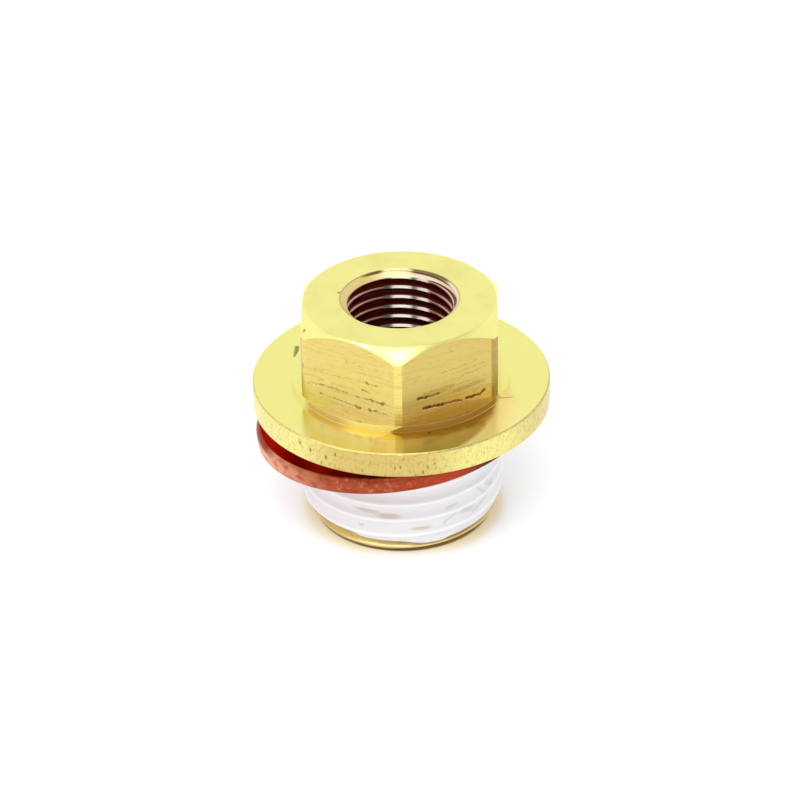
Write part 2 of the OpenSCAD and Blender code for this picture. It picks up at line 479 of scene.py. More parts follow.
# Marks of use on the two front flats: how far each flat is turned from the hex's front corner, and for its
# strokes a width, how dark, how far broken up, and the lines in millimetres as onFlat takes them
flatMarks = {
    "left": {"turn": -30.0, "strokes": [
        (0.24, 0.7, 0.55, [(-4.0, 15.12, -2.8, 15.28), (-2.8, 15.28, 0.9, 15.17), (0.9, 15.17, 3.5, 15.27),
                           (-2.9, 14.42, 0.3, 14.2), (1.9, 14.25, 3.5, 14.34), (1.2, 15.95, 1.9, 15.88)]),
        (0.42, 0.85, 0.2, [(0.6, 14.18, 1.0, 14.14), (2.1, 15.25, 2.3, 15.22), (3.0, 15.2, 3.2, 15.2),
                           (1.9, 14.3, 2.0, 14.2), (-4.55, 16.3, -4.55, 16.7)]),
        (0.28, 0.8, 0.2, [(1.7, 16.74, 1.8, 16.7), (2.5, 16.72, 2.6, 16.7), (2.3, 14.3, 2.6, 14.36)]),
        (0.2, 0.34, 1.0, [(-3.8, 15.76, 0.66, 15.67), (-3.4, 16.46, -0.4, 16.6), (-0.4, 16.6, 2.7, 16.76),
                          (0.2, 17.6, 1.6, 17.5), (0.4, 18.3, 1.4, 18.0), (-1.2, 13.9, 1.4, 13.85)])]},
    "right": {"turn": 30.0, "strokes": [
        (0.42, 1.0, 0.0, [(-2.29, 14.44, -1.4, 14.42), (-1.4, 14.42, -0.6, 14.34), (1.65, 14.25, 2.4, 14.22),
                          (2.4, 14.3, 3.0, 14.25), (3.0, 14.3, 3.4, 14.55), (-2.8, 15.55, -2.0, 15.48)]),
        (0.36, 0.8, 0.1, [(-0.7, 14.34, 0.7, 14.28), (0.7, 14.28, 1.2, 14.18), (-2.0, 15.48, -0.9, 15.46)]),
        (0.6, 0.3, 0.3, [(-2.2, 15.75, -1.2, 15.7), (-1.2, 15.7, 0.4, 15.75), (0.6, 15.2, 3.2, 15.5)]),
        (0.16, 0.3, 0.6, [(-0.8, 16.2, 3.45, 16.8), (-0.4, 15.7, 3.6, 16.0), (0.3, 16.9, 3.3, 17.2),
                          (-0.6, 17.3, 2.6, 17.6)])]},
}


def onFlat(azimuth, along, height):
    # a point of a flat: millimetres along it from its middle, anticlockwise from above, and its height
    outward = polar(plug["acrossFlats"] / 2, azimuth, height)
    return outward + polar(along, azimuth + 90, 0.0)


def makeMarks(tree, place, look, turn, strokes):
    # how dark the strokes make each point; their edges are ragged and some are broken up
    azimuth = front + plug["hexTurn"] + turn
    point = inMillimetres(tree, place)
    ragged = addNode(tree, "ShaderNodeTexNoise", {"Vector": point, "Scale": look["raggedFineness"],
                                                  "Detail": 1.0}).outputs["Color"]
    ragged = vectorCalc(tree, "SUBTRACT", ragged, (0.5, 0.5, 0.5))  # the noise lies round a half
    point = vectorCalc(tree, "ADD", point, scale(tree, ragged, look["ragged"]))
    broken = addStreaks(tree, place, *look["breaks"])["Mask"]
    masks = []
    for width, strength, breaks, lines in strokes:
        mask = addStrokes(tree, point, [(onFlat(azimuth, *line[:2]), onFlat(azimuth, *line[2:]), width)
                                        for line in lines])
        masks.append(multiply(tree, mask, between(tree, broken, strength * (1 - breaks), strength)))
    return strongest(tree, masks)


def makeFlatBrass(name, look, turn=0.0, strokes=()):
    material, tree, shader, place = startMaterial(name, metallic=1.0, roughness=0.3)
    where = whereIs(tree, place)
    angle, radius = where["Angle"], where["Radius"]
    # painted shade darkens the right flat, and painted reflection tones of the flange colour both flats'
    # lower part
    side = smoothStep(tree, angle, *look["side"])
    lowReflection = blendColour(tree, side, brass["flatLowLeftReflection"], brass["flatLowRightReflection"])
    sideShadedColour = blendColour(tree, side, brass["flat"], brass["flatRightShade"])
    reflectionTop = smoothStep(tree, angle, *look["side"], *look["reflectionTop"])
    turned = smoothStep(tree, radius, *look["turnedRadius"])
    lines = addStreaks(tree, place, *look["broadLines"])
    fine = addStreaks(tree, place, *look["fineLines"])["Mask"]
    worn = strongest(tree, [multiply(tree, lines["Mask"], look["broadStrength"]),
                            multiply(tree, fine, look["fineStrength"])])
    colour = layColours(tree, sideShadedColour, [
        (smoothStep(tree, where["Height"], look["reflectionFoot"], reflectionTop, 1.0, 0.0), lowReflection),
        # painted shade along the right corner
        (within(tree, angle, *look["rightCorner"]), brass["corner"],
         smoothStep(tree, radius, *look["rightCornerRadius"])),
        (smoothStep(tree, angle, *look["leftCorner"]), brass["cornerLeft"],
         smoothStep(tree, radius, *look["leftCornerRadius"])),
        # painted highlight on the turned land at the front corner
        (within(tree, angle, *look["frontLandHighlight"]), brass["land"], turned),
        (within(tree, angle, *look["leftLine"]), brass["corner"], turned, look["leftLineStrength"]),
        (worn, brass["scratch"]),
        (addStreaks(tree, place, *look["specks"])["Mask"], brass["pit"], look["speckStrength"])])
    depth = multiply(tree, lines["Value"], look["lineDepth"])
    if strokes:
        dark = makeMarks(tree, place, look, turn, strokes)
        colour = layColours(tree, colour, [(dark, brass["gouge"], look["gougeStrength"])])
        depth = calc(tree, "SUBTRACT", depth, dark)
    setInputs(shader, {"Base Color": colour})
    addBump(tree, shader, depth, look["depth"], strength=0.6)
    return material


# The flange and the collar's wall and ledge: painted reflections of the flats, and painted shade on the right
flangeFinish = {
    "shadeDown": 6.0,
    "shadeOut": 6.0,
    "shadeOutRadius": 10.3,
    "shadeStart": (-1.0, 1.0),
    "rightEnd": (36.0, 64.0, 1.0, 0.0),
    "leftStart": (-50.0, -38.0),
    "nearHead": (9.6, 10.9, 1.0, 0.0),
    "dullSlant": 11.0,
    "dull": (57.0, 76.0, 5.0),
    "dullRise": 0.06,
    "dullMetal": 0.4,
    "foot": (10.1, 10.5, 1.0, 0.0),
    "wallFoot": 0.03,
    "wallTop": 0.012,
    "wallSoft": 0.008,
    "wallMetal": 0.45,
    "facing": (-59.0, 60.0, 4.0),
    "collarTurn": (-36.0, -24.0),
    "ledgeFrom": 0.02,
    "ledgeTo": 0.004,
    "smooth": 0.22,
    "rough": 0.6,
    "leftRough": 0.6,
    "burrStrength": 0.8,
    "ringRate": 40.0,
}
# Burrs and specks on the flange: radius and degrees from the front of each end, and width
flangeMarks = [(10.05, -118.5, 9.5, -110.5, 0.6), (9.56, 13.1, 9.64, 13.1, 0.36),
               (9.98, 66.4, 9.2, 63.4, 0.16)]


def makeFlangeBrass(look):
    material, tree, shader, place = startMaterial("brass_turned_flange", metallic=1.0,
                                                  roughness=look["smooth"])
    where = whereIs(tree, place)
    angle, radius, height = where["Angle"], where["Radius"], where["Height"]
    flangeTop, collarTop = plug["flangeTop"], plug["flatsLow"]
    # painted shade on the collar's right side, which spreads to the left as it goes down and out
    down = smoothStep(tree, height, flangeTop, collarTop, look["shadeDown"], 0.0)
    out = smoothStep(tree, radius, plug["headRadius"], look["shadeOutRadius"], 0.0, look["shadeOut"])
    turned = calc(tree, "ADD", angle, calc(tree, "ADD", down, out))
    shade = smoothStep(tree, turned, *look["shadeStart"])
    right = multiply(tree, shade, smoothStep(tree, angle, *look["rightEnd"]))
    left = multiply(tree, smoothStep(tree, angle, *look["leftStart"]), between(tree, shade, 1.0, 0.0))
    near = smoothStep(tree, radius, *look["nearHead"])
    # a duller, darker painted tone where the head's reflection ends on the right, along a slanting line
    beyond = calc(tree, "SUBTRACT", radius, plug["headRadius"])
    slanted = calc(tree, "ADD", angle, multiply(tree, beyond, look["dullSlant"]))
    dull = multiply(tree, within(tree, slanted, *look["dull"]),
                    smoothStep(tree, beyond, 0.0, look["dullRise"]))
    wall = within(tree, height, flangeTop + look["wallFoot"], collarTop - look["wallTop"], look["wallSoft"])
    facing = within(tree, angle, *look["facing"])
    collar = layColours(tree, brass["collarTanReflection"], [
        (smoothStep(tree, angle, *look["collarTurn"]), brass["collarLeftLight"]), (shade, brass["collarRightShade"])])
    ledge = smoothStep(tree, height, collarTop - look["ledgeFrom"], collarTop - look["ledgeTo"])
    burrs = addStrokes(tree, inMillimetres(tree, place), [
        (polar(start, front + turn, flangeTop), polar(end, front + endTurn, flangeTop), width)
        for start, turn, end, endTurn, width in flangeMarks])
    # painted reflections of the flats on the flange, painted light on the collar's left and painted shade on
    # its right
    colour = layColours(tree, brass["flange"], [
        (left, blendColour(tree, near, brass["flangeLeftReflection"], brass["flangeFootReflection"])),
        (right, brass["flangeRightReflection"]),
        (dull, brass["flangeReflectionEnd"]),
        (right, brass["footRightShade"], smoothStep(tree, radius, *look["foot"])),
        (wall, blendColour(tree, facing, brass["collarSide"], collar)),
        (right, brass["ledgeRightShade"], ledge),
        (burrs, brass["burr"], look["burrStrength"])])
    wall = multiply(tree, wall, facing)
    rough = multiply(tree, wall, between(tree, shade, look["leftRough"], 1.0))
    metal = multiply(tree, between(tree, wall, 1.0, look["wallMetal"]),
                     between(tree, dull, 1.0, look["dullMetal"]))
    setInputs(shader, {"Base Color": colour, "Metallic": metal,
                       "Roughness": between(tree, rough, look["smooth"], look["rough"])})
    addLatheRings(tree, shader, where, look["ringRate"])
    return material


# The flange's rim, with its ticks, its grain, a worn line under its edge and painted shade on its right
rimFinish = {
    "ticks": ((3.8, 3.8, 2.0), 0.54, 0.74),
    "tickStrength": (0.4, 0.7),
    "grain": ((4.6, 4.6, 4.0), 0.48, 0.72),
    "grainStrength": 0.36,
    "pitHalf": 0.08,
    "pitStrength": 0.8,
    "lineHeight": (11.93, 11.97, 0.03),
    "lineTurn": (-32.0, 12.0, 5.0),
    "lineStrength": 0.3,
    "middle": (-34.0, 16.0, 12.0),
    "right": (51.0, 120.0, 11.0),
    "depth": 0.04,
}
# Pits in the flange's rim: degrees from the front, height, width
rimPits = [(-42, 12.1, 0.3), (-37, 11.8, 0.34), (-32, 11.0, 0.2), (-30, 11.6, 0.36), (-26, 12.1, 0.24),
           (-7, 12.9, 0.2), (-3, 11.5, 0.2), (-1, 11.6, 0.22), (7.4, 11.0, 0.3), (9.3, 11.4, 0.2),
           (12, 11.7, 0.16)]


def makeRimBrass(look):
    material, tree, shader, place = startMaterial("brass_rim", metallic=1.0, roughness=0.36)
    where = whereIs(tree, place)
    ticks = addStreaks(tree, place, *look["ticks"])
    grain = addStreaks(tree, place, *look["grain"])["Mask"]
    pits = addStrokes(tree, inMillimetres(tree, place), [
        (polar(plug["radius"], front + turn, height - look["pitHalf"]),
         polar(plug["radius"], front + turn, height + look["pitHalf"]), width)
        for turn, height, width in rimPits])
    middle = within(tree, where["Angle"], *look["middle"])
    worn = strongest(tree, [
        multiply(tree, ticks["Mask"], between(tree, middle, *look["tickStrength"])),
        multiply(tree, grain, look["grainStrength"]),
        multiply(tree, pits, look["pitStrength"]),
        multiply(tree, within(tree, where["Height"], *look["lineHeight"]),
                 within(tree, where["Angle"], *look["lineTurn"]), look["lineStrength"])])
    colour = layColours(tree, brass["rim"], [
        (middle, brass["rimTan"]),
        # painted shade on the rim's right side
        (within(tree, where["Angle"], *look["right"]), brass["rimRightShade"]),
        (worn, brass["pit"])])
    setInputs(shader, {"Base Color": colour})
    addBump(tree, shader, calc(tree, "SUBTRACT", ticks["Value"], pits), look["depth"], strength=0.7)
    return material


# The hole and its countersunk mouth; across is in millimetres from the axis to the right
boreFinish = {
    "root": (4.58, 4.64),
    "rootDull": 0.6,
    # the line is a painted highlight along the bevels
    "line": (4.43, 4.52, 0.02),
    "lineGap": (-1.3, 2.5, 0.3),
    "lineLeft": (-4.4, -1.4, 1.0, 0.4),
    "lineRight": (2.2, 4.2, 0.0, 1.0),
    "lineDull": 0.85,
    "mouthFrom": 0.02,
    "mouthTo": 0.04,
    "mouthMetal": 0.3,
    "backStart": (-2.6, -0.8),
    "rightStart": (0.2, 1.4),
    "edge": (4.9, 4.96),
    "shine": (-1.5, 0.7, 0.3),
    "darkRight": (1.1, 4.1, 0.3),
    "darkLeft": (-3.0, -1.5, 0.4),
    "darkRadius": (4.78, 4.86),
    "darkOut": (4.95, 5.0, 1.0, 0.3),
    "smooth": 0.16,
    "rough": 0.42,
}


def makeBoreBrass(look):
    material, tree, shader, place = startMaterial("brass_pipe_thread", metallic=1.0, roughness=look["smooth"])
    where = whereIs(tree, place)
    radius = where["Radius"]
    across = calc(tree, "DIVIDE", addNode(tree, "ShaderNodeSeparateXYZ", {0: place}).outputs[0], mm)
    # a painted highlight line along the middle of the bevel, broken at the back where the lamps' highlights
    # fall
    gap = within(tree, across, *look["lineGap"])
    deep = smoothStep(tree, radius, *look["root"])
    line = multiply(tree, within(tree, radius, *look["line"]), calc(tree, "SUBTRACT", 1.0, gap))
    sides = strongest(tree, [smoothStep(tree, across, *look[side]) for side in ("lineLeft", "lineRight")])
    # painted shadow on the mouth's edge at the back, on both sides of a painted highlight, and painted light
    # at the back
    mouthFoot = plug["top"] - pipeThread["mouthDepth"]
    mouth = smoothStep(tree, where["Height"], mouthFoot - look["mouthFrom"], mouthFoot + look["mouthTo"])
    shine = within(tree, across, *look["shine"])
    dark = strongest(tree, [within(tree, across, *look[side]) for side in ("darkRight", "darkLeft")])
    mouthColour = layColours(tree, brass["mouthLeft"], [
        (smoothStep(tree, across, *look["backStart"]), brass["mouthBackLight"]),
        (smoothStep(tree, across, *look["rightStart"]), brass["mouthRight"]),
        (smoothStep(tree, radius, *look["edge"]), brass["mouthRimShade"], calc(tree, "SUBTRACT", 1.0, shine)),
        (dark, brass["mouthShadowLine"], smoothStep(tree, radius, *look["darkRadius"]),
         smoothStep(tree, radius, *look["darkOut"]))])
    # painted shade: the hole's sides are dark red and the thread's roots darker; the back keeps a paler base
    colour = layColours(tree, brass["boreSideShade"], [
        (gap, brass["bore"]), (deep, brass["boreRootShade"]), (line, brass["boreHighlightLine"], sides),
        (mouth, mouthColour)])
    dull = strongest(tree, [multiply(tree, line, look["lineDull"]), multiply(tree, deep, look["rootDull"])])
    metal = multiply(tree, calc(tree, "SUBTRACT", 1.0, dull), between(tree, mouth, 1.0, look["mouthMetal"]))
    setInputs(shader, {"Base Color": colour, "Metallic": metal,
                       "Roughness": between(tree, mouth, look["smooth"], look["rough"])})
    return material


# The end of the male thread that shows under the tape, with a painted highlight on its crest and painted
# shade at its foot
threadFinish = {
    "highlightHeight": (0.6, 1.0, 0.12),
    "highlightTurn": (-36.0, 26.0, 8.0),
    "foot": (0.3, 0.6, 1.0, 0.0),
    "lines": ((1.0, 1.0, 6.0), 0.4, 0.7),
    "lineStrength": 0.3,
    "depth": 0.01,
}


def makeThreadBrass(look):
    material, tree, shader, place = startMaterial("brass_thread", metallic=0.5, roughness=0.42)
    where = whereIs(tree, place)
    lines = addStreaks(tree, place, *look["lines"])
    # painted highlight along the crest at the front and painted shade at the foot; the streak lines share the
    # dark colour
    colour = layColours(tree, brass["thread"], [
        (within(tree, where["Height"], *look["highlightHeight"]), brass["threadHighlight"],
         within(tree, where["Angle"], *look["highlightTurn"])),
        (smoothStep(tree, where["Height"], *look["foot"]), brass["threadShadeAndLines"]),
        (lines["Mask"], brass["threadShadeAndLines"], look["lineStrength"])])
    setInputs(shader, {"Base Color": colour})
    addBump(tree, shader, lines["Value"], look["depth"])
    return material


# The plug's own sizes
plug = {
    "radius": plugHigh.x / mm,
    "top": plugHigh.z / mm,
    "underside": 10.58,
    "flangeTop": 12.82,
    "flangeEdge": 0.12,
    "headRadius": 9.183,
    "flatsLow": 13.43,
    "topFaceRadius": 7.98,
    "headChamfer": 43.0,
    "acrossFlats": 16.2,
    "hexTurn": -1.84,
    "reliefRadius": 6.95,
    "edgeBreak": 0.035,
    "breakAngle": 20.0,
    "sharpAngle": 34.0,
    "levelNormal": 0.9999,
    "boreZoneFoot": 1.0,
    "threadZoneDrop": 0.2,
    "faceSlope": 0.35,
    "steps": 180,
}
flankAngle = 30.0  # of both threads, from a line across the axis
maleThread = {
    "radius": 8.0,
    "rootRadius": 7.08,
    "pitch": 1.5,
    "crestAtFront": 0.65,
    "top": 8.08,
    "leadIn": 0.55,
    "leadHeight": 0.85,
    "legParts": (2, 5, 2, 5),
}
pipeThread = {
    "drillRadius": 4.365,
    "mouthRadius": 5.02,
    "mouthDepth": 0.53,
    "rootRadius": 4.95,
    "pitch": 0.94,
    "taper": 1 / 32,
    "rootFlat": 0.02,
    "crestBevel": 0.31,
    "bevelAngle": 47.0,
    "crestAtFront": 19.9,
    "length": 12.0,
    "fadeLength": 2.0,
    "exitChamfer": 0.25,
    "legParts": (1, 3, 4, 1, 5),
}


def threadOutline(corners, parts, pitch, low, turns):
    # corners of one pitch are (radius, height over the crest), each leg cut into parts
    legs = list(zip(corners, corners[1:] + [(corners[0][0], corners[0][1] + pitch)], parts))
    outline = [(r0 + (r1 - r0) * i / n, low + pitch * turn + z0 + (z1 - z0) * i / n)
               for turn in range(turns) for (r0, z0), (r1, z1), n in legs for i in range(n)]
    return outline + [(corners[0][0], low + pitch * turns + corners[0][1])]


def trimHeights(bm, low, high):
    bmesh.ops.bisect_plane(bm, geom=everything(bm), dist=tiny, plane_co=(0, 0, low), plane_no=(0, 0, 1),
                           clear_inner=True)
    bmesh.ops.bisect_plane(bm, geom=everything(bm), dist=tiny, plane_co=(0, 0, high), plane_no=(0, 0, 1),
                           clear_outer=True)


def cutMaleThread(size, steps):
    crest = size["pitch"] / 16  # half of the crest's flat
    run = (size["radius"] - size["rootRadius"]) * math.tan(math.radians(flankAngle))
    corners = [(size["radius"], -crest), (size["radius"], crest), (size["rootRadius"], crest + run),
               (size["rootRadius"], size["pitch"] - crest - run)]
    low = size["crestAtFront"] - 2 * size["pitch"]
    turns = math.ceil((size["top"] - low) / size["pitch"]) + 1
    outline = threadOutline(corners, size["legParts"], size["pitch"], low, turns)
    bm = turnOutline(outline, steps, rise=size["pitch"])
    trimHeights(bm, 0.0, size["top"])
    for vert in bm.verts:
        reach = size["radius"] - size["leadIn"] * (1 - vert.co.z / size["leadHeight"])
        if vert.co.xy.length > reach:
            setRadius(vert, reach)
    return bm


def cutPipeThread(size, top, steps):
    # a worn crest, whose upper edge is bevelled
    flank = math.tan(math.radians(flankAngle))
    bevel = math.radians(size["bevelAngle"])
    bevelOut = size["crestBevel"] * math.sin(bevel)
    bevelUp = size["crestBevel"] * math.cos(bevel)
    depth = size["rootRadius"] - size["drillRadius"]
    flankUp = (depth - bevelOut) * flank
    land = size["pitch"] - bevelUp - flankUp - size["rootFlat"] - depth * flank
    rootLow = land + bevelUp + flankUp
    corners = [(size["drillRadius"], 0.0), (size["drillRadius"], land),
               (size["drillRadius"] + bevelOut, land + bevelUp), (size["rootRadius"], rootLow),
               (size["rootRadius"], rootLow + size["rootFlat"])]
    turns = math.ceil(size["length"] / size["pitch"]) + 2
    low = size["crestAtFront"] - (turns - 1) * size["pitch"]
    outline = threadOutline(corners, size["legParts"], size["pitch"], low, turns)
    bm = turnOutline(outline, steps, rise=size["pitch"])
    trimHeights(bm, top - size["length"], top)
    slope = (size["mouthRadius"] - size["drillRadius"]) / size["mouthDepth"]
    for vert in bm.verts:
        deep = top - vert.co.z
        runOut = max(0.0, 1 - (size["length"] - deep) / size["fadeLength"])
        root = size["rootRadius"] - deep * size["taper"] - runOut * depth
        cone = size["mouthRadius"] - deep * slope
        setRadius(vert, max(min(vert.co.xy.length, root), cone, size["drillRadius"]))
    return bm


def sideways(size):
    # the outward direction of each of the six flats
    return [polar(1.0, front + size["hexTurn"] + 30 + 60 * side, 0.0) for side in range(6)]


def millFlats(bm, size):
    # the cutter's six planes open the turned wall, and each opening is closed by a flat
    for outward in sideways(size):
        cut = bmesh.ops.bisect_plane(bm, geom=everything(bm), dist=tiny, plane_no=outward,
                                     plane_co=outward * size["acrossFlats"] / 2, clear_outer=True)["geom_cut"]
        edges = [item for item in cut if isinstance(item, bmesh.types.BMEdge)]
        feet = [item for item in cut if isinstance(item, bmesh.types.BMVert)
                and abs(item.co.z - size["flatsLow"]) < tiny]
        edges.append(bm.edges.new(feet))
        bmesh.ops.edgeloop_fill(bm, edges=edges)


def markCollar(bm, size):
    # gives the collar's top edge a corner at each end of each flat
    wallFoot = size["flangeTop"] + tiny
    for outward in sideways(size):
        wall = [face for face in bm.faces if face.calc_center_median().z > wallFoot]
        geometry = wall + list({part for face in wall for part in (*face.verts, *face.edges)})
        bmesh.ops.bisect_plane(bm, geom=geometry, dist=tiny, plane_no=outward,
                               plane_co=outward * size["acrossFlats"] / 2)


def closeLedges(bm, size):
    half = size["acrossFlats"] / 2
    for outward in sideways(size):
        edges = [edge for edge in bm.edges if edge.is_boundary and all(
            abs(vert.co.z - size["flatsLow"]) < tiny and vert.co.dot(outward) > half - 2 * tiny
            for vert in edge.verts)]
        bmesh.ops.edgeloop_fill(bm, edges=edges)


def breakEdges(bm, size):
    # every sharp outward edge outside the threads is rounded a little
    def isOutside(edge):
        return min(vert.co.xy.length for vert in edge.verts) > size["reliefRadius"] + tiny and min(
            vert.co.z for vert in edge.verts) > size["underside"] - tiny
    sharp = [edge for edge in bm.edges if edge.is_convex and isOutside(edge)
             and edge.calc_face_angle(0.0) > math.radians(size["breakAngle"])]
    bmesh.ops.bevel(bm, geom=sharp, offset=size["edgeBreak"], offset_type="OFFSET", segments=2, profile=0.5,
                    affect="EDGES", material=-1, clamp_overlap=True)


def zoneOf(face, size):
    # which of the brass finishes a face has
    slack = 10 * tiny
    centre = face.calc_center_median()
    radius = centre.xy.length
    if radius < pipeThread["mouthRadius"] + slack and centre.z > size["boreZoneFoot"]:
        return "bore"
    if centre.z < size["underside"] - size["threadZoneDrop"]:
        return "thread"
    if radius > size["radius"] - size["flangeEdge"] - slack:
        return "rim"
    if centre.z < size["flatsLow"] + slack:
        return "flange"
    if abs(face.normal.z) > size["faceSlope"]:
        return "face"
    # the two front flats lie within 60 degrees of the corner between them
    turn = math.degrees(math.atan2(centre.x, -centre.y)) - size["hexTurn"]
    return "leftFlat" if -60 < turn < -1 else "rightFlat" if 1 < turn < 60 else "flat"


def makePlug(size, male, pipe):
    steps = size["steps"]
    chamferRise = (size["headRadius"] - size["topFaceRadius"]) * math.tan(math.radians(size["headChamfer"]))
    bm = turnOutline([(size["headRadius"], size["flatsLow"]), (size["headRadius"], size["top"] - chamferRise),
                      (size["topFaceRadius"], size["top"])], steps)
    millFlats(bm, size)
    edge = size["flangeEdge"]
    flange = turnOutline([
        (size["reliefRadius"], male["top"]), (size["reliefRadius"], size["underside"]),
        (size["radius"] - edge, size["underside"]), (size["radius"], size["underside"] + edge),
        (size["radius"], size["flangeTop"] - edge), (size["radius"] - edge, size["flangeTop"]),
        (size["headRadius"], size["flangeTop"]), (size["headRadius"], size["flatsLow"])], steps)
    markCollar(flange, size)
    addPart(bm, flange)
    weld(bm)
    closeLedges(bm, size)
    addPart(bm, cutPipeThread(pipe, size["top"], steps))
    addPart(bm, cutMaleThread(male, steps))
    drillEnd = size["top"] - pipe["length"]
    exitRadius = pipe["drillRadius"] + pipe["exitChamfer"]
    addPart(bm, turnOutline([(pipe["drillRadius"], drillEnd), (pipe["drillRadius"], pipe["exitChamfer"]),
                             (exitRadius, 0.0)], steps))
    fillRing(bm, size["top"], pipe["mouthRadius"], size["topFaceRadius"])
    fillRing(bm, male["top"], size["reliefRadius"], male["radius"])
    fillRing(bm, 0.0, exitRadius, male["radius"])
    fillRing(bm, drillEnd, pipe["drillRadius"], pipe["rootRadius"])
    weld(bm)
    bmesh.ops.recalc_face_normals(bm, faces=bm.faces)
    breakEdges(bm, size)
    for edge in bm.edges:
        # an edge is sharp where it turns far, and where a level face ends
        level = sum(face.normal.z > size["levelNormal"] for face in edge.link_faces)
        edge.smooth = level != 1 and edge.calc_face_angle(0.0) < math.radians(size["sharpAngle"])
    finishes = {
        "face": makeFaceBrass(faceFinish),
        "flat": makeFlatBrass("brass_milled_flats", flatFinish),
        "flange": makeFlangeBrass(flangeFinish),
        "rim": makeRimBrass(rimFinish),
        "bore": makeBoreBrass(boreFinish),
        "thread": makeThreadBrass(threadFinish),
        "leftFlat": makeFlatBrass("brass_left_flat", flatFinish, **flatMarks["left"]),
        "rightFlat": makeFlatBrass("brass_right_flat", flatFinish, **flatMarks["right"]),
    }
    zones = list(finishes)
    for face in bm.faces:
        face.material_index = zones.index(zoneOf(face, size))
    piece = toPiece(bm, "brass_plug", finishes.values())
    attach(piece, "root")
    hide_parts("plug_body")
    return piece


makePlug(plug, maleThread, pipeThread)


# The copper washer, in the lathe's frame first and then tilted to where it leans
washer = {
    "width": 3.15,
    "thickness": 1.38,
    "play": 1.2,
    "tilt": 6.5,
    "high": -17.5,
    "offDirection": 141.0,
    "slip": 0.75,
    "seat": 0.02,
    "corner": 0.14,
    "worn": 0.5,
    "cornerParts": 3,
    "wornParts": 8,
    "upperSkin": 0.02,
    "lowerSkin": 0.06,
    "steps": 180,
    "rim": paint(162, 70, 38),
    "stain": paint(132, 38, 18),
    "shine": paint(236, 166, 130),
    # painted shade for the gap under the flange
    "shaded": paint(152, 44, 26),
    "shadedSheen": (0.7, 0.24, 0.17, 1.0),
    # painted shade on the right side and at the right end
    "rimRightShade": paint(164, 54, 22),
    "rightEndShade": paint(60, 16, 6),
    "stains": ((0.9, 0.9, 2.0), 0.42, 0.72),
    "stainStrength": 0.7,
    "shines": ((2.2, 2.2, 2.6), 0.5, 0.75),
    "shineStrength": 0.4,
    "grain": ((3.0, 3.0, 1.2), 0.4, 0.7),
    "grainDepth": 0.03,
    # painted highlight on the left side
    "leftHighlightEnd": (-66.0, -24.0, 1.0, 0.0),
    "leftHighlightStart": (-160.0, -110.0),
    "leftHighlightStrength": 0.75,
    "rightShadeTurn": (4.0, 90.0, 14.0),
    "rightShadeStrength": 0.8,
    "cornerShadeRise": (0.2, 0.4),
    "cornerShadeTurn": (-110.0, -68.0, 5.0),
    "rightEndShadeStart": (24.0, 44.0),
    "rightEndShadeEnd": (70.0, 110.0, 1.0, 0.0),
    "gapTurn": (-115.0, 80.0, 25.0),
}


def heightOver(tree, place, foot, direction):
    # how far each point lies from the foot in a direction, in millimetres
    reach = vectorCalc(tree, "SUBTRACT", inMillimetres(tree, place), foot)
    return vectorCalc(tree, "DOT_PRODUCT", reach, direction, output="Value")


def makeCopper(size, lean):
    material, tree, shader, place = startMaterial("copper_stamped", metallic=0.75, roughness=0.36)
    angle = whereIs(tree, place)["Angle"]
    shines = addStreaks(tree, place, *size["shines"])["Mask"]
    # painted highlight on the rim's left side, over random pale streaks all round
    streaksAndLeftHighlight = strongest(tree, [multiply(tree, shines, size["shineStrength"]),
                            multiply(tree, smoothStep(tree, angle, *size["leftHighlightEnd"]),
                                     smoothStep(tree, angle, *size["leftHighlightStart"]), size["leftHighlightStrength"])])
    # painted shade: at the left end the shade of the gap reaches over the rounded corner
    above = heightOver(tree, place, lean.translation, lean.to_3x3() @ up)
    colour = layColours(tree, size["rim"], [
        (streaksAndLeftHighlight, size["shine"]),
        (addStreaks(tree, place, *size["stains"])["Mask"], size["stain"], size["stainStrength"]),
        # painted shade on the right side, darkest at the right end
        (within(tree, angle, *size["rightShadeTurn"]), size["rimRightShade"], size["rightShadeStrength"]),
        (within(tree, angle, *size["cornerShadeTurn"]), size["shaded"],
         smoothStep(tree, above, *size["cornerShadeRise"])),
        (smoothStep(tree, angle, *size["rightEndShadeStart"]), size["rightEndShade"],
         smoothStep(tree, angle, *size["rightEndShadeEnd"]))])
    setInputs(shader, {"Base Color": colour})
    addBump(tree, shader, addStreaks(tree, place, *size["grain"])["Value"], size["grainDepth"], strength=0.6)
    return material


def makeShadedCopper(size):
    # painted shade at the front on the upper face, shown only in the gap under the flange, and the lower
    # outer corner
    material, tree, shader, place = startMaterial("copper_painted_shade", metallic=1.0, roughness=0.25)
    gap = within(tree, whereIs(tree, place)["Angle"], *size["gapTurn"])
    setInputs(shader, {"Base Color": blendColour(tree, gap, size["rim"], size["shaded"]),
                       "Specular Tint": size["shadedSheen"]})
    return material


